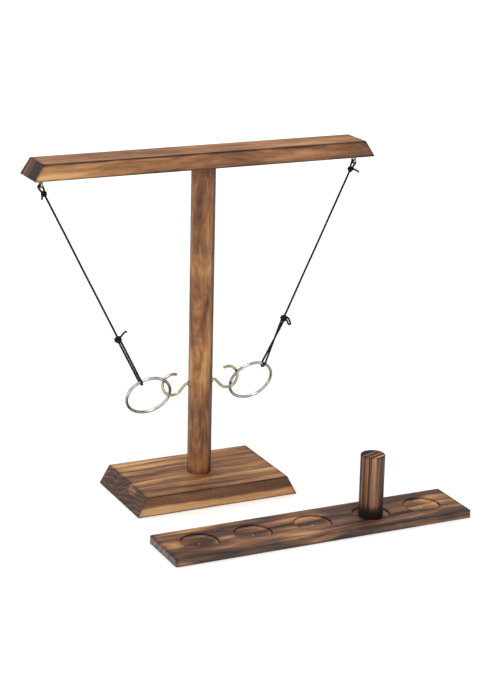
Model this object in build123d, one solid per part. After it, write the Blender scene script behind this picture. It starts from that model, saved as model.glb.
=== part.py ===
from build123d import *
import math
import os

os.makedirs("parts", exist_ok=True)

# Wooden ring toss set, millimetres. Origin: centre of the base's underside.
# X runs along the base and the crossbar, Y away from the players' side, Z up.

# base plate, bevelled at the ends and a little along the sides
BASE_TOP_L, BASE_TOP_W, BASE_H = 159.6, 102.4, 20.0
BASE_END_BEVEL, BASE_SIDE_BEVEL = 10.3, 2.6
# post
POST_X = 1.2
POST_R = 12.5
# crossbar
BAR_TOP_L, BAR_TOP_W, BAR_H = 351.0, 39.0, 16.3
BAR_END_BEVEL, BAR_SIDE_BEVEL = 9.9, 2.4
BAR_Z = 347.0
EDGE_R = 0.8
# hardware inside the wood: a threaded insert and a stud at each end of the post
INSERT_R, STUD_R = 5.0, 3.0
BASE_INSERT_L, BAR_INSERT_L = 15.0, 11.5
STUD_IN_BASE, STUD_IN_BAR, STUD_IN_POST = 13.0, 10.0, 24.0
# hooks
WIRE_R = 1.45
HOOK_Z = {"left": 117.8, "right": 119.2}
HOOK_SHANK = 4.2
HOOK_LOOP_U, HOOK_LOOP_V, HOOK_LOOP_R = 18.6, 0.9, 11.3
HOOK_TIP_ANGLE = 108.0
HOOK_BEND_R = 2.6
HOOK_SCREW_L = 9.0
COLLAR_R, COLLAR_H = 2.9, 1.2
# eyes
EYE_X = {"left": -171.5, "right": 172.2}
EYE_RING_R, EYE_WIRE_R = 3.3, 1.05
EYE_SHANK, EYE_SCREW_L = 2.2, 11.0
# rings
RING_R, RING_WIRE_R = 23.5, 1.5
RING_C = {"left": (-55.5, 3.61, 109.31), "right": (60.46, 2.9, 112.12)}
RING_N = {"left": (-0.029, -0.906, -0.423), "right": (0.014, -0.913, -0.408)}
RING_HOLD = {"left": (-67.87, -4.52, 127.56), "right": (70.7, -5.6, 131.48)}
# cord
CORD_R = 1.1
KNOT_R = 3.6
EYE_KNOT_R = 2.7
KNOT_AT = {"left": 0.776, "right": 0.775}
RING_GAP, EYE_GAP = 0.4, 0.45
# the doubled cord above each ring: its lean on the wire and its twist up to the knot, degrees, and half the strands' distance there
LOOP_LEAN = {"left": -22.0, "right": 0.0}
LOOP_TWIST = {"left": -60.0, "right": 100.0}
STRAND_HALF = {"left": 1.2, "right": 1.5}
# scoring board with five dished places and its marker peg
BOARD_L, BOARD_W, BOARD_H = 328.8, 65.8, 8.4
BOARD_X, BOARD_Y = 60.8, -147.9
BOARD_CORNER_R, BOARD_TOP_R, BOARD_FOOT_R = 2.2, 1.5, 0.7
DISH_R, DISH_DEPTH, DISH_COVE_R = 19.2, 3.1, 2.6
MARK_R, MARK_DEPTH = 0.9, 0.6
DISH_XS = (-125.4, -67.5, -1.4, 64.9, 124.5)
PEG_R, PEG_L, PEG_DISH = 12.5, 66.5, 3


def plate(bottom_l, bottom_w, top_l, top_w, height, z, edge):
    low = Plane.XY.offset(z) * Rectangle(bottom_l, bottom_w)
    high = Plane.XY.offset(z + height) * Rectangle(top_l, top_w)
    body = loft([low.face(), high.face()])
    return fillet(body.edges(), edge)


def rod(x, y, z0, z1, r):
    return Pos(x, y, (z0 + z1) / 2) * Cylinder(r, z1 - z0)


def rod_x(x0, x1, y, z, r):
    return Pos((x0 + x1) / 2, y, z) * Rot(0, 90, 0) * Cylinder(r, abs(x1 - x0))


def unit(v):
    return v * (1 / v.length)


def tube(path, r):
    start = path.position_at(0)
    profile = Plane(origin=start, z_dir=path.tangent_at(0)) * Circle(r)
    return sweep(profile, path=path)


# ---- base -------------------------------------------------------------------
base = plate(
    BASE_TOP_L + 2 * BASE_END_BEVEL,
    BASE_TOP_W + 2 * BASE_SIDE_BEVEL,
    BASE_TOP_L,
    BASE_TOP_W,
    BASE_H,
    0,
    EDGE_R,
)
base -= rod(POST_X, 0, BASE_H - BASE_INSERT_L, BASE_H + 1, INSERT_R)
base_insert = rod(POST_X, 0, BASE_H - BASE_INSERT_L, BASE_H, INSERT_R)
base_insert -= rod(POST_X, 0, BASE_H - BASE_INSERT_L - 1, BASE_H + 1, STUD_R)
bottom_stud = rod(POST_X, 0, BASE_H - STUD_IN_BASE, BASE_H + STUD_IN_POST, STUD_R)

# ---- post -------------------------------------------------------------------
post = rod(POST_X, 0, BASE_H, BAR_Z, POST_R)
post = chamfer(post.edges().filter_by(GeomType.CIRCLE), 0.4)
post -= rod(POST_X, 0, BASE_H - 1, BASE_H + STUD_IN_POST, STUD_R)
post -= rod(POST_X, 0, BAR_Z - STUD_IN_POST, BAR_Z + 1, STUD_R)
top_stud = rod(POST_X, 0, BAR_Z - STUD_IN_POST, BAR_Z + STUD_IN_BAR, STUD_R)

# ---- crossbar ---------------------------------------------------------------
bar = plate(
    BAR_TOP_L + 2 * BAR_END_BEVEL,
    BAR_TOP_W + 2 * BAR_SIDE_BEVEL,
    BAR_TOP_L,
    BAR_TOP_W,
    BAR_H,
    BAR_Z,
    EDGE_R,
)
bar -= rod(POST_X, 0, BAR_Z - 1, BAR_Z + BAR_INSERT_L, INSERT_R)
bar_insert = rod(POST_X, 0, BAR_Z, BAR_Z + BAR_INSERT_L, INSERT_R)
bar_insert -= rod(POST_X, 0, BAR_Z - 1, BAR_Z + BAR_INSERT_L + 1, STUD_R)


# ---- hooks, screwed into the post's sides ------------------------------------
def hook(side):
    s = -1 if side == "left" else 1

    def at(u, v):
        return Vector(POST_X + s * (POST_R + u), 0, HOOK_Z[side] + v)

    du, dv = HOOK_LOOP_U - HOOK_SHANK, HOOK_LOOP_V
    far = math.hypot(du, dv)
    slope = math.atan2(dv, du) - math.asin(HOOK_LOOP_R / far)
    run = math.sqrt(far**2 - HOOK_LOOP_R**2)
    tu = HOOK_SHANK + run * math.cos(slope)
    tv = run * math.sin(slope)
    a0 = math.atan2(tv - HOOK_LOOP_V, tu - HOOK_LOOP_U) + 2 * math.pi
    a1 = math.radians(HOOK_TIP_ANGLE) + 2 * math.pi
    cut = HOOK_BEND_R * math.tan(-slope / 2)
    b0 = at(HOOK_SHANK - cut, 0)
    b1 = at(HOOK_SHANK + cut * math.cos(slope), cut * math.sin(slope))

    def on_loop(a):
        return at(
            HOOK_LOOP_U + HOOK_LOOP_R * math.cos(a),
            HOOK_LOOP_V + HOOK_LOOP_R * math.sin(a),
        )

    edges = [
        Line(at(0, 0), b0),
        TangentArc(b0, b1, tangent=(s, 0, 0)),
        Line(b1, at(tu, tv)),
        ThreePointArc(on_loop(a0), on_loop((a0 + a1) / 2), on_loop(a1)),
    ]
    body = tube(Wire([e.edge() for e in edges]), WIRE_R)
    tip = on_loop(a1)
    body += Pos(*tip) * Sphere(WIRE_R)
    collar = rod_x(at(0, 0).X, at(COLLAR_H, 0).X, 0, HOOK_Z[side], COLLAR_R)
    screw = rod_x(at(-HOOK_SCREW_L, 0).X, at(0.5, 0).X, 0, HOOK_Z[side], WIRE_R - 0.1)
    return body + collar + screw


hooks = {side: hook(side) for side in HOOK_Z}
for side in hooks:
    s = -1 if side == "left" else 1
    post -= rod_x(
        POST_X + s * (POST_R - HOOK_SCREW_L), POST_X + s * (POST_R + 2), 0, HOOK_Z[side], WIRE_R - 0.1
    )


# ---- screw eyes under the crossbar; each ring lies across the bar --------------
def eye_z(side):
    return BAR_Z - EYE_SHANK - EYE_RING_R - EYE_WIRE_R


def eye(side):
    x, z = EYE_X[side], eye_z(side)
    body = Pos(x, 0, z) * Rot(0, 90, 0) * Torus(EYE_RING_R, EYE_WIRE_R)
    body += rod(x, 0, z + EYE_RING_R, BAR_Z + EYE_SCREW_L, EYE_WIRE_R)
    body += rod(x, 0, BAR_Z - 0.8, BAR_Z, 2.2)
    return body


eyes = {side: eye(side) for side in EYE_X}
for side in eyes:
    bar -= rod(EYE_X[side], 0, BAR_Z - 1, BAR_Z + EYE_SCREW_L, EYE_WIRE_R)


# ---- rings --------------------------------------------------------------------
def ring(side):
    n = unit(Vector(*RING_N[side]))
    return Plane(origin=RING_C[side], z_dir=n) * Torus(RING_R, RING_WIRE_R)


rings = {side: ring(side) for side in RING_C}


# ---- cords ----------------------------------------------------------------------
def cord_geometry(side):
    pivot = Vector(EYE_X[side], 0, eye_z(side) - EYE_RING_R)
    n = unit(Vector(*RING_N[side]))
    c = Vector(*RING_C[side])
    h = Vector(*RING_HOLD[side]) - c
    hold = c + unit(h - n * h.dot(n)) * RING_R
    return pivot, hold, n, c


def turned(v, axis, degrees):
    """The vector v turned about a unit axis."""
    a = math.radians(degrees)
    return v * math.cos(a) + axis.cross(v) * math.sin(a) + axis * (axis.dot(v) * (1 - math.cos(a)))


def loop_round(centre, toward, across, spread, half, wire_r, gap, knot, name):
    """A doubled strand: from the knot round a wire of radius wire_r and back.

    The strands straddle the wire along across, and leave the knot along spread, half the distance apart each way."""
    back = unit(centre - toward)
    side = unit(across - back * across.dot(back))
    near = unit(spread - back * spread.dot(back))
    r = wire_r + gap + CORD_R
    a, b = centre + side * r, centre - side * r
    a0, b0 = knot + near * half, knot - near * half
    pts = [a0, a + back * r, b + back * r, b0]
    turn_angle = math.acos(unit(pts[1] - pts[0]).dot(unit(pts[2] - pts[1])))
    bend = 0.98 * r / math.tan(turn_angle / 2)
    path = FilletPolyline(*pts, radius=bend)
    body = tube(path.wire(), CORD_R)
    length = path.length
    # the two straight strands pass each other without touching
    gap_seen = min(
        ((a0 * (1 - k / 40) + pts[1] * (k / 40)) - (b0 * (1 - k / 40) + pts[2] * (k / 40))).length for k in range(41)
    )
    print(
        name,
        "loop length %.2f" % length,
        "arc radius %.2f" % bend,
        "volume %.3f against %.3f" % (body.volume, math.pi * CORD_R**2 * length),
        "strands apart %.2f" % gap_seen,
    )
    print("   route", [tuple(round(c, 3) for c in p) for p in pts])
    return body


lines, ring_knots, eye_knots, loops, eye_loops = {}, {}, {}, {}, {}
for side in ("left", "right"):
    pivot, hold, n, c = cord_geometry(side)
    along = unit(hold - pivot)
    span = (hold - pivot).length
    knot = pivot + along * (KNOT_AT[side] * span)
    top = pivot + along * (EYE_WIRE_R + EYE_GAP + 2 * CORD_R + EYE_KNOT_R + 1.0)
    ring_knots[side] = Pos(*knot) * Sphere(KNOT_R)
    eye_knots[side] = Pos(*top) * Sphere(EYE_KNOT_R)
    start = top + along * (EYE_KNOT_R - 0.25)
    end = knot - along * (KNOT_R - 0.25)
    line = Line(start, end)
    body = tube(Wire([line.edge()]), CORD_R)
    body -= eye_knots[side]
    body -= ring_knots[side]
    lines[side] = body
    print(side, "line run %.2f" % line.length, "pivot", tuple(round(v, 3) for v in pivot),
          "hold", tuple(round(v, 3) for v in hold), "knot", tuple(round(v, 3) for v in knot),
          "top", tuple(round(v, 3) for v in top))
    print("   volume %.3f against %.3f" % (body.volume, math.pi * CORD_R**2 * line.length))
    # loop round the ring's wire, and loop round the eye's wire
    wire_dir = unit(n.cross(hold - c))
    across = turned(unit(wire_dir.cross(along)), along, LOOP_LEAN[side])
    spread = turned(across, along, LOOP_TWIST[side])
    wire_seen = RING_WIRE_R / math.cos(math.radians(LOOP_LEAN[side]))
    body = loop_round(hold, knot, across, spread, STRAND_HALF[side], wire_seen, RING_GAP, knot + along * (KNOT_R - 2.2), side + " ring")
    loops[side] = body - ring_knots[side]
    wide = Vector(0, 1, 0).cross(along)
    body = loop_round(pivot, top, wide, wide, CORD_R + 0.15, EYE_WIRE_R, EYE_GAP, top - along * (EYE_KNOT_R - 1.5), side + " eye")
    eye_loops[side] = body - eye_knots[side]

# ---- scoring board -----------------------------------------------------------------
board = Pos(BOARD_X, BOARD_Y, BOARD_H / 2) * Box(BOARD_L, BOARD_W, BOARD_H)
board = fillet(board.edges().filter_by(Axis.Z), BOARD_CORNER_R)
board = fillet(board.faces().sort_by(Axis.Z)[-1].edges(), BOARD_TOP_R)
board = fillet(board.faces().sort_by(Axis.Z)[0].edges(), BOARD_FOOT_R)
for x in DISH_XS:
    # a shallow place with a coved wall, and the cutter's small mark in the middle
    floor_z = BOARD_H - DISH_DEPTH
    dish = rod(BOARD_X + x, BOARD_Y, floor_z, BOARD_H + 3, DISH_R)
    dish = fillet(dish.edges().filter_by(GeomType.CIRCLE).sort_by(Axis.Z)[0], DISH_COVE_R)
    board -= dish
    board -= Pos(BOARD_X + x, BOARD_Y, floor_z) * Cone(0, MARK_R * 2, MARK_DEPTH * 2)

peg_z = BOARD_H - DISH_DEPTH + 0.02
peg_x = BOARD_X + DISH_XS[PEG_DISH]
peg = rod(peg_x, BOARD_Y, peg_z, peg_z + PEG_L, PEG_R)
peg = chamfer(peg.edges().filter_by(GeomType.CIRCLE), 0.6)
print("peg bottom %.3f top %.3f" % (peg_z, peg_z + PEG_L))

pieces = {
    "base_plate": base,
    "post": post,
    "crossbar": bar,
    "base_insert": base_insert,
    "post_bottom_stud": bottom_stud,
    "post_top_stud": top_stud,
    "crossbar_insert": bar_insert,
    "left_hook": hooks["left"],
    "right_hook": hooks["right"],
    "left_eye": eyes["left"],
    "right_eye": eyes["right"],
    "left_ring": rings["left"],
    "right_ring": rings["right"],
    "left_cord_line": lines["left"],
    "right_cord_line": lines["right"],
    "left_ring_knot": ring_knots["left"],
    "right_ring_knot": ring_knots["right"],
    "left_eye_knot": eye_knots["left"],
    "right_eye_knot": eye_knots["right"],
    "left_ring_loop": loops["left"],
    "right_ring_loop": loops["right"],
    "left_eye_loop": eye_loops["left"],
    "right_eye_loop": eye_loops["right"],
    "score_board": board,
    "marker_peg": peg,
}
for name, shape in pieces.items():
    solids = shape.solids()
    print(name, len(solids), "volume %.2f" % sum(s.volume for s in solids))
    export_step(solids[0] if len(solids) == 1 else Compound(solids), f"parts/{name}.step")
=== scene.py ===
import math
import random

import bpy
import numpy as np
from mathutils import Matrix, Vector


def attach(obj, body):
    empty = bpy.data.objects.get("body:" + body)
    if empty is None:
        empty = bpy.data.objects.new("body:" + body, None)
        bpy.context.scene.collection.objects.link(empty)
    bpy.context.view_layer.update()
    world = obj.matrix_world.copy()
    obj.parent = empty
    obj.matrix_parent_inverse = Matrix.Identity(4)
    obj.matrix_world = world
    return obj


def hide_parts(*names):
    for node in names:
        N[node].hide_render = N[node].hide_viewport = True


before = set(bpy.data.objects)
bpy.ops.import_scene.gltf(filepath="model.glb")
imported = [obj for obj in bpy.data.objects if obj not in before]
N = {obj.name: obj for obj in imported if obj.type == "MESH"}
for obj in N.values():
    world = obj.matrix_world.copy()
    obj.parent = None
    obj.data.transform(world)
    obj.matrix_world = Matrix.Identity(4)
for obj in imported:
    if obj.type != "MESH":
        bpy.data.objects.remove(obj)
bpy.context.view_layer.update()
random.seed(7)
RNG = np.random.default_rng(7)


def link(o):
    bpy.context.scene.collection.objects.link(o)
    return o


# ---- camera --------------------------------------------------------------------
CAM_F, CAM_LONG = 1941.72, 699.0
YAW, PITCH, ROLL = math.radians(-25.9969), math.radians(17.3382), math.radians(1.3399)
CAM_AT = Vector((-0.79358, -1.73841, 0.75087))


def make_camera():
    back = Vector((math.sin(YAW) * math.cos(PITCH), -math.cos(YAW) * math.cos(PITCH), math.sin(PITCH)))
    right = Vector((math.cos(YAW), math.sin(YAW), 0))
    up = back.cross(right)
    r = right * math.cos(ROLL) + up * math.sin(ROLL)
    u = up * math.cos(ROLL) - right * math.sin(ROLL)
    data = bpy.data.cameras.new("camera")
    data.sensor_width = 36.0
    data.lens = CAM_F / CAM_LONG * 36.0
    data.clip_start, data.clip_end = 0.05, 150
    cam = link(bpy.data.objects.new("camera", data))
    from mathutils import Matrix

    m = Matrix((r, u, back)).transposed().to_4x4()
    m.translation = CAM_AT
    cam.matrix_world = m
    bpy.context.scene.camera = cam


make_camera()


# ---- mesh helpers ----------------------------------------------------------------
def mesh_object(name, verts, faces, smooth=True):
    me = bpy.data.meshes.new(name)
    me.from_pydata([tuple(v) for v in verts], [], faces)
    me.update()
    if smooth:
        me.polygons.foreach_set("use_smooth", [True] * len(me.polygons))
    return link(bpy.data.objects.new(name, me))


def nurbs_path(points):
    """The points of a smooth order 3 NURBS through these control points."""
    cu = bpy.data.curves.new("route", "CURVE")
    cu.dimensions = "3D"
    cu.resolution_u = 14
    sp = cu.splines.new("NURBS")
    sp.points.add(len(points) - 1)
    for p, q in zip(sp.points, points):
        p.co = (*q, 1)
    sp.order_u = 3
    sp.use_endpoint_u = True
    tmp = bpy.data.objects.new("route", cu)
    me = bpy.data.meshes.new_from_object(tmp)
    pts = np.array([v.co for v in me.vertices], float)
    bpy.data.meshes.remove(me)
    bpy.data.curves.remove(cu)
    return pts


def resample(pts, step):
    seg = np.linalg.norm(np.diff(pts, axis=0), axis=1)
    s = np.r_[0, np.cumsum(seg)]
    n = max(2, int(math.ceil(s[-1] / step)) + 1)
    t = np.linspace(0, s[-1], n)
    return np.stack([np.interp(t, s, pts[:, k]) for k in range(3)], 1), t


def frames_along(p):
    t = np.gradient(p, axis=0)
    t /= np.linalg.norm(t, axis=1)[:, None]
    n = np.zeros_like(t)
    a = np.array([0, 1.0, 0]) if abs(t[0][1]) < 0.9 else np.array([1.0, 0, 0])
    n[0] = np.cross(t[0], a)
    n[0] /= np.linalg.norm(n[0])
    for i in range(1, len(p)):
        v = n[i - 1] - t[i] * np.dot(n[i - 1], t[i])
        n[i] = v / np.linalg.norm(v)
    return t, n, np.cross(t, n)


def strand(points, radius, step=0.00042, sides=18, plies=3, pitch=0.0042, depth=0.16, fuzz=0.03, caps=True, wobble=0.0, seed=1):
    """A laid cord's surface: a tube with helical plies, round a list of points."""
    p, s = resample(np.asarray(points, float), step)
    t, n, b = frames_along(p)
    if wobble:
        k = np.sin(np.pi * np.clip(s / s[-1], 0, 1))
        rng = np.random.default_rng(seed)
        ph = rng.uniform(0, 6.28, 4)
        off = wobble * k * (np.sin(s / 0.021 + ph[0]) + 0.6 * np.sin(s / 0.009 + ph[1]))
        off2 = wobble * k * (np.sin(s / 0.017 + ph[2]) + 0.6 * np.sin(s / 0.008 + ph[3]))
        p = p + n * off[:, None] + b * off2[:, None]
        t, n, b = frames_along(p)
    th = np.linspace(0, 2 * np.pi, sides, endpoint=False)
    rng = np.random.default_rng(seed + 11)
    verts, faces = [], []
    rough = rng.normal(0, fuzz, (len(p), sides))
    ang = th[None, :] - 2 * np.pi * s[:, None] / (pitch * plies)
    lobe = np.abs(np.cos(ang * plies / 2))
    rad = radius * (1.0 - depth + depth * lobe + rough * 0.5)
    ring = p[:, None, :] + rad[..., None] * (np.cos(th)[None, :, None] * n[:, None, :] + np.sin(th)[None, :, None] * b[:, None, :])
    verts = ring.reshape(-1, 3)
    m = len(p)
    for i in range(m - 1):
        for j in range(sides):
            k = (j + 1) % sides
            faces.append((i * sides + j, i * sides + k, (i + 1) * sides + k, (i + 1) * sides + j))
    if caps:
        verts = np.vstack([verts, p[0] - t[0] * radius * 0.35, p[-1] + t[-1] * radius * 0.35])
        a, z = m * sides, m * sides + 1
        for j in range(sides):
            k = (j + 1) % sides
            faces.append((k, j, a))
            faces.append(((m - 1) * sides + j, (m - 1) * sides + k, z))
    return verts, faces, p


def merged(name, parts):
    verts, faces, base = [], [], 0
    for v, f in parts:
        verts.append(np.asarray(v))
        faces += [tuple(i + base for i in q) for q in f]
        base += len(v)
    return mesh_object(name, np.vstack(verts), faces)


def catmull(points, per=14):
    p = np.asarray(points, float)
    q = np.vstack([2 * p[0] - p[1], p, 2 * p[-1] - p[-2]])
    out = []
    for i in range(len(p) - 1):
        a, b, c, d = q[i], q[i + 1], q[i + 2], q[i + 3]
        for t in np.linspace(0, 1, per, endpoint=False):
            out.append(0.5 * (2 * b + (c - a) * t + (2 * a - 5 * b + 4 * c - d) * t * t + (3 * b - a - 3 * c + d) * t**3))
    out.append(p[-1])
    return np.array(out)


# ---- cords -----------------------------------------------------------------------
CORD_R = 0.0011
# route points repeated from the part's source, in metres
TOP = {"left": (-0.168221, -0.000143, 0.330518), "right": (0.168926, -0.000181, 0.330516)}
MID = {"left": (-0.091084, -0.003505, 0.174511), "right": (0.09354, -0.004338, 0.177762)}
RING_LOOP = {
    "left": ((-0.089472, -0.003986, 0.173756), (-0.066138, -0.007665, 0.125009), (-0.06684, -0.001488, 0.124529), (-0.091455, -0.003077, 0.172756)),
    "right": ((0.091576, -0.004395, 0.177171), (0.069914, -0.008617, 0.128613), (0.068837, -0.002726, 0.128984), (0.094265, -0.00435, 0.175843)),
}
EYE_LOOP = {
    "left": ((-0.169873, -0.00012, 0.331039), (-0.174983, 0.00005, 0.338328), (-0.170322, 0.00005, 0.340633), (-0.167632, -0.00012, 0.332147)),
    "right": ((0.168336, -0.000151, 0.332145), (0.171019, 0.000063, 0.340631), (0.175682, 0.000063, 0.33833), (0.170578, -0.000151, 0.331039)),
}
KNOT_R, EYE_KNOT_R = 0.0036, 0.0027


def knot(centre, along, size, turns, cord_r, spin=0.0):
    """A small tightened knot: wraps round the cord and one strand across them."""
    along = Vector(along).normalized()
    side = along.cross(Vector((0, 1, 0))).normalized()
    out = along.cross(side).normalized()
    c = Vector(centre)
    r = size - cord_r
    parts = []
    pts = []
    h = size * 1.15
    n = int(24 * turns)
    for i in range(n + 1):
        f = i / n
        a = spin + 2 * math.pi * turns * f
        rr = r * (0.72 + 0.34 * math.sin(math.pi * f))
        pts.append(c + along * (h * (f - 0.5)) + side * (rr * math.cos(a)) + out * (rr * math.sin(a)))
    pts = [c - along * h * 0.62] + pts + [c + along * h * 0.62]
    v, f, _ = strand(catmull(pts, 3), cord_r, sides=14)
    parts.append((v, f))
    # the strand that lies across the wraps
    pts = []
    for i in range(15):
        f = i / 14
        a = spin + 0.9 + 1.5 * f
        rr = r * (0.45 + 0.75 * math.sin(math.pi * f))
        pts.append(c + along * (h * (0.62 - 1.24 * f)) + side * (rr * math.cos(a)) + out * (rr * math.sin(a)))
    v, f, _ = strand(catmull(pts, 3), cord_r, sides=14)
    parts.append((v, f))
    return parts


ACROSS, AWAY, UP = Vector((0.899, -0.438, 0.0)), Vector((0.438, 0.899, 0.0)), Vector((0.0, 0.0, 1.0))
TAIL = {
    # the cut ends beside each knot, in mm from its centre: across, away, up
    "left_ring": ((0.3, 0.2, 0.5), (2.4, -0.8, 2.6), (4.4, -1.2, 5.2), (6.4, -0.9, 7.6), (7.6, -0.4, 8.5), (9.0, 0.0, 8.2)),
    "right_ring": ((0.4, 0.2, 0.8), (2.6, -0.9, 1.6), (4.9, -1.2, 0.5), (6.2, -0.8, -2.4), (7.1, -0.4, -5.2), (6.5, 0.2, -6.8), (4.9, 0.4, -6.2), (3.9, 0.6, -3.4), (2.4, 0.7, -1.0)),
    "left_eye": ((0.2, 0.2, 0.2), (-1.2, -1.6, -1.2), (-1.9, -2.0, -3.6), (-1.6, -1.6, -5.4)),
    "right_eye": ((0.2, 0.2, 0.3), (2.2, -1.0, 0.8), (4.8, -1.2, -0.4), (7.2, -0.9, -1.6), (9.0, -0.5, -2.9)),
}


def tail_path(side, kind, centre):
    c = Vector(centre)
    return catmull([tuple(c + (ACROSS * p[0] + AWAY * p[1] + UP * p[2]) * 0.001) for p in TAIL[f"{side}_{kind}"]])


cord_meshes = []
for side in ("left", "right"):
    body = f"{side}_hang"
    top, mid = Vector(TOP[side]), Vector(MID[side])
    along = (mid - top).normalized()
    a, b = top + along * (EYE_KNOT_R - 0.00025), mid - along * (KNOT_R - 0.00025)
    route = nurbs_path([a, a.lerp(b, 0.5), b])
    v, f, path = strand(route, CORD_R, wobble=0.00006, seed=3 if side == "left" else 5)
    line = merged(f"{side}_cord", [(v, f)])
    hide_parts(f"{side}_cord_line")

    shift = Vector((-0.0010, 0.0004, 0.0008)) if side == "left" else Vector((0.0003, 0.0, 0.0004))
    ka = knot(mid + shift, along, KNOT_R + 0.0003, 2.4, CORD_R, 0.4)
    v, f, _ = strand(tail_path(side, "ring", mid + shift), CORD_R * 0.95, sides=14)
    ka.append((v, f))
    ring_knot = merged(f"{side}_ring_knot_tied", ka)
    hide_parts(f"{side}_ring_knot")

    kb = knot(top, along, EYE_KNOT_R + 0.0004, 1.7, CORD_R, 2.0)
    v, f, _ = strand(tail_path(side, "eye", top), CORD_R * 0.95, sides=14)
    kb.append((v, f))
    eye_knot = merged(f"{side}_eye_knot_tied", kb)
    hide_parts(f"{side}_eye_knot")

    p0, p1, p2, p3 = (Vector(p) for p in RING_LOOP[side])
    e1, e2 = p1 + (p0 - p1).normalized() * 0.0114, p2 + (p3 - p2).normalized() * 0.0114
    route = nurbs_path([p0, e1, p1, p2, e2, p3])
    v, f, lpath = strand(route, CORD_R, seed=9)
    loop = merged(f"{side}_ring_loop_tied", [(v, f)])
    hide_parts(f"{side}_ring_loop")

    q0, q1, q2, q3 = (Vector(p) for p in EYE_LOOP[side])
    g1, g2 = q1.lerp(q0, 0.62), q2.lerp(q3, 0.62)
    route = nurbs_path([q0, g1, q1, q2, g2, q3])
    v, f, _ = strand(route, CORD_R, seed=13)
    eye_loop = merged(f"{side}_eye_loop_tied", [(v, f)])
    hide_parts(f"{side}_eye_loop")

    for o in (line, ring_knot, eye_knot, loop, eye_loop):
        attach(o, body)
    cord_meshes += [line, ring_knot, eye_knot, loop, eye_loop]


# ---- materials --------------------------------------------------------------------
class G:
    """A few words for building a node material."""

    def __init__(self, name):
        self.mat = bpy.data.materials.new(name)
        self.mat.use_nodes = True
        self.t = self.mat.node_tree
        self.t.nodes.clear()
        self.out = self.t.nodes.new("ShaderNodeOutputMaterial")
        self.bsdf = self.t.nodes.new("ShaderNodeBsdfPrincipled")
        self.t.links.new(self.bsdf.outputs[0], self.out.inputs[0])

    def put(self, socket, value):
        if isinstance(value, bpy.types.NodeSocket):
            self.t.links.new(value, socket)
        elif value is not None:
            socket.default_value = value

    def node(self, kind, ins=(), **props):
        n = self.t.nodes.new(kind)
        for k, v in props.items():
            setattr(n, k, v)
        for k, v in dict(ins).items():
            self.put(n.inputs[k], v)
        return n

    def m(self, op, a, b=None, c=None, clamp=False):
        n = self.t.nodes.new("ShaderNodeMath")
        n.operation, n.use_clamp = op, clamp
        for i, v in enumerate((a, b, c)):
            self.put(n.inputs[i], v)
        return n.outputs[0]

    def v(self, op, a, b=None, scale=None):
        n = self.t.nodes.new("ShaderNodeVectorMath")
        n.operation = op
        self.put(n.inputs[0], a)
        self.put(n.inputs[1], b)
        if scale is not None:
            self.put(n.inputs["Scale"], scale)
        return n.outputs["Value"] if op in ("LENGTH", "DOT_PRODUCT", "DISTANCE") else n.outputs["Vector"]

    def noise(self, vec, scale=1.0, detail=2.0, rough=0.5, distort=0.0):
        n = self.node("ShaderNodeTexNoise", {"Vector": vec, "Scale": scale, "Detail": detail, "Roughness": rough, "Distortion": distort})
        return n.outputs[0]

    def ramp(self, fac, stops, mode="LINEAR"):
        n = self.t.nodes.new("ShaderNodeValToRGB")
        n.color_ramp.interpolation = mode
        e = n.color_ramp.elements
        while len(e) > 1:
            e.remove(e[-1])
        e[0].position, e[0].color = stops[0][0], (*stops[0][1], 1)
        for pos, col in stops[1:]:
            x = e.new(pos)
            x.color = (*col, 1)
        self.put(n.inputs[0], fac)
        return n.outputs[0]

    def range(self, x, a, b, c=0.0, d=1.0, kind="SMOOTHSTEP"):
        n = self.t.nodes.new("ShaderNodeMapRange")
        n.interpolation_type = kind
        for i, v in enumerate((x, a, b, c, d)):
            self.put(n.inputs[i], v)
        return n.outputs[0]

    def mix(self, f, a, b, mode="MIX"):
        n = self.t.nodes.new("ShaderNodeMix")
        n.data_type, n.blend_type = "RGBA", mode
        self.put(n.inputs[0], f)
        self.put(n.inputs[6], a)
        self.put(n.inputs[7], b)
        return n.outputs[2]

    def bump(self, h, strength, distance, normal=None):
        n = self.node("ShaderNodeBump", {"Height": h, "Strength": strength, "Distance": distance})
        if normal is not None:
            self.put(n.inputs["Normal"], normal)
        return n.outputs[0]


def lin(r, g, b):
    return tuple(((c / 255) / 12.92 if c / 255 <= 0.04045 else ((c / 255 + 0.055) / 1.055) ** 2.4) for c in (r, g, b))


PALE, GOLD, MIDDLE, BROWN, DARK, CHAR = lin(216, 172, 118), lin(188, 138, 88), lin(146, 100, 64), lin(106, 71, 48), lin(68, 46, 36), lin(32, 22, 20)


def plate_planes(cx, cy, z0, h, half_l, half_w, end, side):
    """Inward unit normals and offsets of a bevelled plate's six faces, metres. half_l and half_w are the bottom's."""
    out = [((0, 0, -1), z0 + h), ((0, 0, 1), -z0)]
    for s in (-1, 1):
        n = Vector((-s * h, 0, -end)).normalized()
        out.append((tuple(n), -n.dot(Vector((cx + s * half_l, cy, z0)))))
        n = Vector((0, -s * h, -side)).normalized()
        out.append((tuple(n), -n.dot(Vector((cx, cy + s * half_w, z0)))))
    return out


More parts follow.
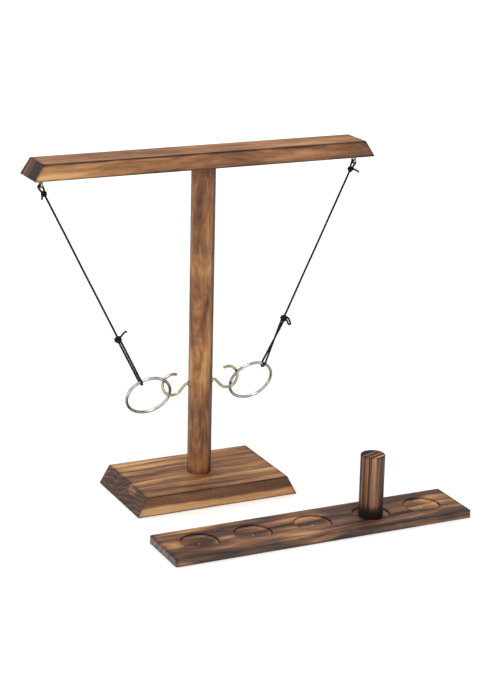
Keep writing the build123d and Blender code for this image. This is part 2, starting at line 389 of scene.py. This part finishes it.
def wood(name, axis, pith, seed, planes=(), edge_w=0.0010, edge_amt=0.5, base=0.5, band_scale=95.0, band_amt=1.7, along=4.5, fine_amt=0.5, burn_amt=0.45,
         fibre_amt=0.16, warp=0.012, extra=None, end_dark=0.1, rough=0.42, coat=0.2, tint=(1, 1, 1)):
    g = G(name)
    tc = g.node("ShaderNodeTexCoord")
    obj, nrm = tc.outputs["Object"], tc.outputs["Normal"]
    sep = g.node("ShaderNodeSeparateXYZ", {0: obj})
    x, y, z = sep.outputs[0], sep.outputs[1], sep.outputs[2]
    u, v, w = (x, y, z) if axis == "X" else (z, x, y)
    P = g.node("ShaderNodeCombineXYZ", {0: u, 1: v, 2: w}).outputs[0]
    P = g.v("ADD", P, (seed * 0.731, seed * 0.377, seed * 0.591))
    pith = (0.0, pith[0] + seed * 0.377, pith[1] + seed * 0.591)
    # growth bands: an uneven series of pale and dark layers round a far pith, bent slowly along the grain
    r = g.v("LENGTH", g.v("SUBTRACT", g.v("MULTIPLY", P, (0.0, 1.0, 1.0)), pith))
    w1 = g.noise(g.v("MULTIPLY", P, (5.0, 20.0, 20.0)), 1.0, 2.0, 0.5)
    w2 = g.noise(g.v("MULTIPLY", P, (26.0, 80.0, 80.0)), 1.0, 2.0, 0.5)
    r = g.m("MULTIPLY_ADD", g.m("SUBTRACT", w1, 0.5), warp * 2.0, r)
    r = g.m("MULTIPLY_ADD", g.m("SUBTRACT", w2, 0.5), warp * 0.35, r)
    bands = g.noise(g.node("ShaderNodeCombineXYZ", {0: g.m("MULTIPLY", r, band_scale), 1: g.m("MULTIPLY", u, along), 2: seed * 1.7}).outputs[0], 1.0, 3.0, 0.6)
    fine = g.noise(g.node("ShaderNodeCombineXYZ", {0: g.m("MULTIPLY", r, band_scale * 4.6), 1: g.m("MULTIPLY", u, along * 2.5), 2: seed * 0.9}).outputs[0], 1.0, 3.0, 0.68)
    burn = g.noise(g.v("MULTIPLY", P, (15.0, 34.0, 34.0)), 1.0, 4.0, 0.6, 0.5)
    fibre = g.noise(g.v("MULTIPLY", P, (90.0, 1500.0, 1500.0)), 1.0, 2.0, 0.6)
    t = g.m("MULTIPLY_ADD", g.m("SUBTRACT", bands, 0.5), band_amt, base)
    t = g.m("MULTIPLY_ADD", g.m("SUBTRACT", fine, 0.5), fine_amt, t)
    t = g.m("MULTIPLY_ADD", g.m("SUBTRACT", burn, 0.5), burn_amt, t)
    t = g.m("MULTIPLY_ADD", g.m("SUBTRACT", fibre, 0.5), fibre_amt, t)
    ax = (1, 0, 0) if axis == "X" else (0, 0, 1)
    end = g.range(g.m("ABSOLUTE", g.v("DOT_PRODUCT", nrm, ax)), 0.45, 0.7)
    pores = g.noise(g.v("MULTIPLY", P, (300.0, 2200.0, 2200.0)), 1.0, 1.0)
    t = g.m("MULTIPLY_ADD", end, -end_dark, t)
    t = g.m("MULTIPLY_ADD", g.m("MULTIPLY", end, g.m("SUBTRACT", pores, 0.5)), 0.3, t)
    if planes:
        # thin scorched lines along the edges, where two faces meet
        total = None
        jag = g.noise(g.v("MULTIPLY", P, (60.0, 160.0, 160.0)), 1.0, 3.0, 0.6)
        wide = g.m("MULTIPLY_ADD", jag, edge_w * 1.5, edge_w * 0.3)
        for n, d in planes:
            dist = g.m("MAXIMUM", g.m("ADD", g.v("DOT_PRODUCT", obj, n), d), 0.0)
            e = g.m("POWER", math.e, g.m("DIVIDE", dist, g.m("MULTIPLY", wide, -1.0)))
            total = e if total is None else g.m("ADD", total, e)
        edge = g.m("SUBTRACT", total, 1.0, clamp=True)
        t = g.m("MULTIPLY_ADD", edge, -edge_amt, t)
    if extra:
        t = extra(g, t, x, y, z, obj, nrm, P, r)
    t = g.m("ADD", t, 0.0, clamp=True)
    stops = [(0.0, CHAR), (0.2, DARK), (0.38, BROWN), (0.55, MIDDLE), (0.75, GOLD), (0.97, PALE)]
    col = g.ramp(t, [(p, tuple(c * k for c, k in zip(q, tint))) for p, q in stops])
    g.put(g.bsdf.inputs["Base Color"], col)
    g.put(g.bsdf.inputs["Roughness"], g.m("MULTIPLY_ADD", fibre, 0.18, g.m("MULTIPLY_ADD", t, -0.1, rough)))
    h = g.m("MULTIPLY_ADD", fibre, 0.35, g.m("MULTIPLY", fine, 0.8))
    g.put(g.bsdf.inputs["Normal"], g.bump(h, 0.35, 0.0003))
    g.bsdf.inputs["Specular IOR Level"].default_value = 0.28
    g.bsdf.inputs["Coat Weight"].default_value = coat
    g.bsdf.inputs["Coat Roughness"].default_value = 0.25
    return g.mat


def give(node, mat):
    o = N[node] if isinstance(node, str) else node
    o.data.materials.clear()
    o.data.materials.append(mat)


BASE_PLANES = plate_planes(0, 0, 0, 0.020, 0.0901, 0.0538, 0.0103, 0.0026)
BAR_PLANES = plate_planes(0, 0, 0.347, 0.0163, 0.1854, 0.0219, 0.0099, 0.0024)
BOARD_PLANES = plate_planes(0.0608, -0.1479, 0, 0.0084, 0.1644, 0.0329, 0.00001, 0.00001)
DISHES = [0.0608 + d for d in (-0.1254, -0.0675, -0.0014, 0.0649, 0.1245)]


def facing(g, nrm, way, a=0.5, b=0.8):
    return g.range(g.v("DOT_PRODUCT", nrm, way), a, b)


def near_line(g, at, centre, half):
    """1 on a thin line where at = centre, 0 from half away."""
    return g.range(g.m("ABSOLUTE", g.m("SUBTRACT", at, centre)), 0.0, half, 1.0, 0.0)


def base_extra(g, t, x, y, z, obj, nrm, P, r):
    streak = g.noise(g.v("MULTIPLY", obj, (7.0, 150.0, 150.0)), 1.0, 1.0, 0.5)
    t = g.m("MULTIPLY_ADD", g.range(streak, 0.56, 0.66), 0.12, t)
    # front: a dark heart band over a pale foot, with an uneven line between them
    wave = g.noise(g.v("MULTIPLY", obj, (22.0, 10.0, 10.0)), 1.0, 3.0, 0.6)
    high = g.range(g.m("MULTIPLY_ADD", wave, 0.006, z), 0.0098, 0.0128)
    front = facing(g, nrm, (0, -1, 0))
    speck = g.noise(g.v("MULTIPLY", obj, (420.0, 420.0, 900.0)), 1.0, 2.0, 0.7)
    dark = g.m("MULTIPLY_ADD", g.m("SUBTRACT", speck, 0.5), 0.35, 0.36)
    pale = g.m("MULTIPLY_ADD", g.m("SUBTRACT", t, 0.5), 0.35, 0.69)
    side = g.m("MULTIPLY_ADD", high, g.m("SUBTRACT", dark, pale), pale)
    side = g.m("ADD", side, g.m("MULTIPLY", g.m("SUBTRACT", t, 0.5), 0.3))
    edge = g.m("ADD", near_line(g, z, 0.0006, 0.0011), near_line(g, z, 0.0198, 0.0012))
    side = g.m("MULTIPLY_ADD", edge, -0.3, side)
    t = g.m("MULTIPLY_ADD", front, g.m("SUBTRACT", side, t), t)
    # ends: scorched, with thin pale growth lines
    for way in ((-1, 0, 0), (1, 0, 0)):
        face = facing(g, nrm, way, 0.6, 0.8)
        sway = g.noise(g.v("MULTIPLY", obj, (20.0, 42.0, 42.0)), 1.0, 2.0, 0.5)
        q = g.m("MULTIPLY_ADD", y, 0.22, g.m("MULTIPLY_ADD", sway, 0.017, z))
        lines = g.m("FRACT", g.m("DIVIDE", q, 0.0052))
        thin = g.ramp(lines, [(0.0, (0.0,) * 3), (0.12, (0.9,) * 3), (0.22, (0.8,) * 3), (0.42, (0.1,) * 3), (0.62, (0.0,) * 3), (0.72, (0.5,) * 3), (0.84, (0.0,) * 3)])
        burnt = g.m("MULTIPLY_ADD", thin, 0.28, g.m("MULTIPLY_ADD", g.m("SUBTRACT", t, 0.5), 0.26, 0.15))
        gap = g.m("MULTIPLY", g.range(z, 0.010, 0.016), g.m("MULTIPLY", g.range(y, -0.032, -0.022), g.range(y, -0.014, -0.004, 1.0, 0.0)))
        burnt = g.m("MULTIPLY_ADD", gap, 0.27, burnt)
        t = g.m("MULTIPLY_ADD", face, g.m("SUBTRACT", burnt, t), t)
    return t


def bar_extra(g, t, x, y, z, obj, nrm, P, r):
    front = facing(g, nrm, (0, -1, 0))
    wave = g.noise(g.v("MULTIPLY", obj, (30.0, 10.0, 60.0)), 1.0, 3.0, 0.6)
    # front: a little paler, gold at the lower left, a scorched line under the top edge
    gold = g.m("MULTIPLY", g.range(x, -0.16, -0.03, 1.0, 0.0), g.range(g.m("MULTIPLY_ADD", wave, 0.007, z), 0.3535, 0.3595, 1.0, 0.0))
    t = g.m("MULTIPLY_ADD", g.m("MULTIPLY", front, gold), 0.22, t)
    t = g.m("MULTIPLY_ADD", g.m("MULTIPLY", front, g.range(x, -0.2, 0.12, 1.0, 0.0)), 0.07, t)
    # painted light: the top face is lighter
    t = g.m("MULTIPLY_ADD", facing(g, nrm, (0, 0, 1)), 0.07, t)
    t = g.m("MULTIPLY_ADD", g.m("MULTIPLY", front, g.range(x, -0.02, 0.1)), -0.05, t)
    side = g.m("ADD", facing(g, nrm, (0, -1, 0), 0.3, 0.6), g.range(y, -0.019, -0.0175, 1.0, 0.0), clamp=True)
    line = g.m("MULTIPLY", side, g.range(g.m("MULTIPLY_ADD", wave, -0.003, z), 0.3595, 0.3617))
    line = g.m("MULTIPLY", line, g.range(x, 0.02, 0.16, 1.0, 0.35))
    t = g.m("MULTIPLY_ADD", line, -0.27, t)
    # underside edge
    t = g.m("MULTIPLY_ADD", g.m("MULTIPLY", front, g.range(z, 0.3476, 0.3486, 1.0, 0.0)), -0.22, t)
    # ends: dark, with a few straight pale lines in the back half
    for way in ((-1, 0, 0), (1, 0, 0)):
        face = facing(g, nrm, way, 0.6, 0.8)
        burnt = g.m("MULTIPLY_ADD", g.m("SUBTRACT", t, 0.5), 0.22, 0.08)
        burnt = g.m("MULTIPLY_ADD", g.range(y, -0.003, 0.004), 0.15, burnt)
        for at, half, amt in ((0.0125, 0.0011, 0.62), (0.0085, 0.0008, 0.3), (0.0035, 0.0008, 0.36), (-0.0015, 0.0006, 0.14), (0.0165, 0.0008, 0.18)):
            burnt = g.m("MULTIPLY_ADD", near_line(g, g.m("MULTIPLY_ADD", wave, 0.0008, y), at, half), amt, burnt)
        t = g.m("MULTIPLY_ADD", face, g.m("SUBTRACT", burnt, t), t)
    return t


def post_extra(g, t, x, y, z, obj, nrm, P, r):
    # painted shade: darker towards the top, under the crossbar, and at the foot by the base
    ends = g.m("ADD", g.range(z, 0.25, 0.347, 0.0, 1.0), g.range(z, 0.02, 0.031, 1.4, 0.0))
    t = g.m("MULTIPLY_ADD", ends, -0.11, t)
    t = g.m("ADD", t, g.range(z, 0.04, 0.17, 0.13, 0.0))
    # painted shade: one flank (the right), the back and a thin line down the left edge are darker, as if lit from the
    # front left
    wave = g.noise(g.v("MULTIPLY", obj, (60.0, 60.0, 12.0)), 1.0, 3.0, 0.6)
    shade_flank = g.range(g.m("MULTIPLY_ADD", wave, 0.12, g.v("DOT_PRODUCT", nrm, (0.95, -0.31, 0))), 0.70, 0.92)
    t = g.m("MULTIPLY_ADD", shade_flank, -0.30, t)
    t = g.m("MULTIPLY_ADD", facing(g, nrm, (0.45, 0.89, 0), 0.1, 0.9), -0.12, t)
    return g.m("MULTIPLY_ADD", facing(g, nrm, (-0.9, 0.44, 0), 0.88, 0.99), -0.16, t)


def peg_extra(g, t, x, y, z, obj, nrm, P, r):
    foot = g.range(g.m("MULTIPLY_ADD", g.noise(g.v("MULTIPLY", obj, (260.0, 260.0, 30.0)), 1.0, 2.0), 0.010, z), 0.016, 0.027, 1.0, 0.0)
    t = g.m("MULTIPLY_ADD", foot, -0.55, t)
    # painted shade: the right flank and a thin line down the left edge are darker, as if lit from the front left
    shade_flank = facing(g, nrm, (0.95, -0.31, 0), 0.35, 0.8)
    t = g.m("MULTIPLY_ADD", shade_flank, -0.22, t)
    t = g.m("MULTIPLY_ADD", facing(g, nrm, (-0.9, 0.44, 0), 0.8, 0.97), -0.2, t)
    # the cut top shows its bands more clearly
    t = g.m("MULTIPLY_ADD", g.m("MULTIPLY", facing(g, nrm, (0, 0, 1)), g.m("SUBTRACT", t, 0.42)), 1.3, t)
    rim = g.m("MULTIPLY", g.range(z, 0.0708, 0.0715), g.range(g.v("DISTANCE", g.v("MULTIPLY", obj, (1, 1, 0)), (0.1257, -0.1479, 0)), 0.0112, 0.0118))
    return g.m("MULTIPLY_ADD", rim, -0.4, t)


def board_extra(g, t, x, y, z, obj, nrm, P, r):
    flat = g.v("MULTIPLY", obj, (1, 1, 0))
    near = None
    for d in DISHES:
        q = g.v("DISTANCE", flat, (d, -0.1479, 0))
        near = q if near is None else g.m("MINIMUM", near, q)
    t = g.m("MULTIPLY_ADD", g.range(x, -0.05, 0.06), -0.075, t)
    rim = g.m("ABSOLUTE", g.m("SUBTRACT", near, 0.0192))
    front = g.range(y, -0.152, -0.144, 0.5, 0.16)
    t = g.m("SUBTRACT", t, g.m("MULTIPLY", g.range(rim, 0.0001, 0.0008, 1.0, 0.0), front))
    # painted light: the cove ring inside each dish is lifted lighter to soften its shade
    cove = g.m("MULTIPLY", g.range(near, 0.0155, 0.0172), g.range(near, 0.0188, 0.0192, 1.0, 0.0))
    t = g.m("MULTIPLY_ADD", cove, 0.10, t)
    t = g.m("MULTIPLY_ADD", g.range(near, 0.0164, 0.0172, 1.0, 0.0), 0.03, t)
    # the cutter's centre mark, bare and pale
    t = g.m("MULTIPLY_ADD", g.range(near, 0.0007, 0.0013, 1.0, 0.0), 0.6, t)
    # lighter sapwood patches
    for cx, cy, sx, sy, amt in ((-0.092, -0.151, 0.016, 0.0085, 0.62), (-0.036, -0.151, 0.017, 0.0055, 0.5), (-0.060, -0.121, 0.030, 0.004, 0.24), (0.204, -0.136, 0.010, 0.009, 0.2), (0.020, -0.178, 0.040, 0.003, 0.2)):
        dx, dy = g.m("DIVIDE", g.m("SUBTRACT", x, cx), sx), g.m("DIVIDE", g.m("SUBTRACT", g.m("MULTIPLY_ADD", x, -0.05, y), cy - 0.05 * cx), sy)
        blob = g.m("POWER", math.e, g.m("MULTIPLY", g.m("ADD", g.m("MULTIPLY", dx, dx), g.m("MULTIPLY", dy, dy)), -1.0))
        t = g.m("MULTIPLY_ADD", blob, amt, t)
    # scorched corners and ends
    ends = g.m("ABSOLUTE", g.m("SUBTRACT", x, 0.0608))
    wave = g.noise(g.v("MULTIPLY", obj, (60.0, 60.0, 60.0)), 1.0, 3.0, 0.6)
    t = g.m("MULTIPLY_ADD", g.range(g.m("MULTIPLY_ADD", wave, 0.006, ends), 0.1630, 0.1680), -0.12, t)
    return t


give("base_plate", wood("wood_base", "X", (-0.115, -0.070), 3, BASE_PLANES, extra=base_extra, base=0.53, band_scale=88.0, fine_amt=0.75, coat=0.1, tint=(1.0, 1.02, 1.04)))
give("crossbar", wood("wood_bar", "X", (0.120, 0.20), 8, BAR_PLANES, extra=bar_extra, base=0.55, band_scale=110.0, band_amt=0.65, fine_amt=0.6, burn_amt=0.32, along=9.0, coat=0.1, tint=(1.0, 1.0, 1.02)))
give("post", wood("wood_post", "Z", (0.060, 0.075), 12, extra=post_extra, base=0.51, band_scale=120.0, band_amt=0.8, burn_amt=0.9, along=14.0, fine_amt=0.8, coat=0.04, tint=(1.02, 0.97, 0.88)))
give("score_board", wood("wood_board", "X", (-0.30, -0.10), 17, BOARD_PLANES, edge_w=0.0010, extra=board_extra, base=0.39, band_scale=72.0, band_amt=2.2, fine_amt=0.7, along=6.0, coat=0.25, rough=0.36, end_dark=0.0, tint=(1.0, 1.03, 1.12)))
give("marker_peg", wood("wood_peg", "Z", (0.0777, -0.0054), 23, extra=peg_extra, base=0.365, band_scale=190.0, band_amt=3.8, along=2.0, burn_amt=0.25, warp=0.003, coat=0.2, tint=(1.0, 0.98, 0.98)))


def metal(name, colour, rough, scratch=0.1, dark=0.6, collar_glint=None):
    g = G(name)
    tc = g.node("ShaderNodeTexCoord")
    n1 = g.noise(tc.outputs["Object"], 900.0, 3.0, 0.6)
    n2 = g.noise(tc.outputs["Object"], 120.0, 2.0, 0.5)
    col = g.mix(g.range(n2, 0.35, 0.7), (*colour, 1), (*[c * dark for c in colour], 1))
    if collar_glint is not None:
        # painted highlight: a paler, yellower glint on the collar by the post
        px = g.m("ABSOLUTE", g.m("SUBTRACT", g.node("ShaderNodeSeparateXYZ", {0: tc.outputs["Object"]}).outputs[0], 0.0012))
        col = g.mix(g.range(px, 0.0135, 0.0165, 1.0, 0.0), col, (*collar_glint, 1))
    # painted reflection: the colour turns dark towards grazing angles, so the edges read dark
    edge = g.node("ShaderNodeLayerWeight", {0: 0.35}).outputs["Facing"]
    col = g.mix(g.range(edge, 0.09, 0.44, 0.0, 0.94), col, (*[c * 0.07 for c in colour], 1))
    g.put(g.bsdf.inputs["Base Color"], col)
    g.bsdf.inputs["Metallic"].default_value = 1.0
    g.put(g.bsdf.inputs["Roughness"], g.m("MULTIPLY_ADD", n1, scratch, rough))
    g.put(g.bsdf.inputs["Normal"], g.bump(n1, 0.12, 0.0001))
    return g.mat


RING_M = metal("nickel_ring", lin(232, 224, 210), 0.08, dark=0.62)
HOOK_M = metal("brass_hook", lin(222, 208, 170), 0.13, collar_glint=lin(252, 226, 160))
EYE_M = metal("zinc_eye", lin(190, 182, 166), 0.2)
STEEL_M = metal("zinc_stud", lin(180, 178, 172), 0.3)
BRASS_M = metal("brass_insert", lin(205, 170, 100), 0.3)
for n in ("left_ring", "right_ring"):
    give(n, RING_M)
for n in ("left_hook", "right_hook"):
    give(n, HOOK_M)
for n in ("left_eye", "right_eye"):
    give(n, EYE_M)
for n in ("post_bottom_stud", "post_top_stud"):
    give(n, STEEL_M)
for n in ("base_insert", "crossbar_insert"):
    give(n, BRASS_M)


def cord_material():
    g = G("waxed_cord")
    tc = g.node("ShaderNodeTexCoord")
    n1 = g.noise(tc.outputs["Object"], 2600.0, 3.0, 0.7)
    n2 = g.noise(tc.outputs["Object"], 160.0, 2.0, 0.5)
    g.put(g.bsdf.inputs["Base Color"], g.ramp(g.m("MULTIPLY_ADD", n2, 0.4, g.m("MULTIPLY", n1, 0.6)), [(0.3, lin(4, 4, 5)), (0.7, lin(20, 20, 22))]))
    g.put(g.bsdf.inputs["Roughness"], g.m("MULTIPLY_ADD", n1, 0.25, 0.5))
    g.bsdf.inputs["Specular IOR Level"].default_value = 0.22
    g.put(g.bsdf.inputs["Normal"], g.bump(n1, 0.4, 0.0002))
    return g.mat


CORD_M = cord_material()
for o in cord_meshes:
    give(o, CORD_M)


# ---- floor and lights --------------------------------------------------------------
def floor_material():
    g = G("floor")
    tc = g.node("ShaderNodeTexCoord")
    n = g.noise(tc.outputs["Object"], 6.0, 2.0)
    g.put(g.bsdf.inputs["Base Color"], g.ramp(n, [(0.0, (0.93, 0.93, 0.93)), (1.0, (0.95, 0.95, 0.95))]))
    g.bsdf.inputs["Roughness"].default_value = 0.8
    g.bsdf.inputs["Specular IOR Level"].default_value = 0.1
    g.bsdf.inputs["Emission Color"].default_value = (1, 1, 1, 1)
    away = g.v("LENGTH", tc.outputs["Object"])
    g.put(g.bsdf.inputs["Emission Strength"], g.range(away, 0.3, 2.2, 0.10, 0.36))
    return g.mat


floor = mesh_object("floor", [(-50, -50, -0.0001), (50, -50, -0.0001), (50, 50, -0.0001), (-50, 50, -0.0001)], [(0, 1, 2, 3)], smooth=False)
give(floor, floor_material())

world = bpy.context.scene.world or bpy.data.worlds.new("world")
bpy.context.scene.world = world
world.use_nodes = True
wt = world.node_tree
bg = next((n for n in wt.nodes if n.type == "BACKGROUND"), None) or wt.nodes.new("ShaderNodeBackground")
bg.inputs[0].default_value = (1, 1, 1, 1)
# bright overhead cloth, dark low down
wc = wt.nodes.new("ShaderNodeTexCoord")
wd = wt.nodes.new("ShaderNodeVectorMath")
wd.operation = "DOT_PRODUCT"
wd.inputs[1].default_value = (-0.36, 0.10, 0.93)
wr = wt.nodes.new("ShaderNodeMapRange")
wr.interpolation_type = "SMOOTHSTEP"
for k, val in enumerate((None, 0.20, 0.85, 0.20, 1.08)):
    if val is not None:
        wr.inputs[k].default_value = val
wt.links.new(wc.outputs["Generated"], wd.inputs[0])
wt.links.new(wd.outputs["Value"], wr.inputs[0])
wt.links.new(wr.outputs[0], bg.inputs[1])
bpy.context.scene.view_settings.view_transform = "Standard"


def area(name, at, to, size, power, colour=(1, 1, 1)):
    d = bpy.data.lights.new(name, "AREA")
    d.shape, d.size, d.size_y = "RECTANGLE", size[0], size[1]
    d.energy, d.color = power, colour
    o = link(bpy.data.objects.new(name, d))
    o.location = at
    o.rotation_mode = "QUATERNION"
    o.rotation_quaternion = (Vector(to) - Vector(at)).to_track_quat("-Z", "Y")
    return o


area("key", (-0.6, -1.5, 1.9), (0, 0, 0.15), (1.2, 0.9), 15)
area("fill", (1.9, -0.9, 1.2), (0, 0, 0.15), (1.0, 1.2), 5)
area("top", (0.0, 0.3, 2.2), (0, 0, 0.1), (1.6, 1.6), 8)
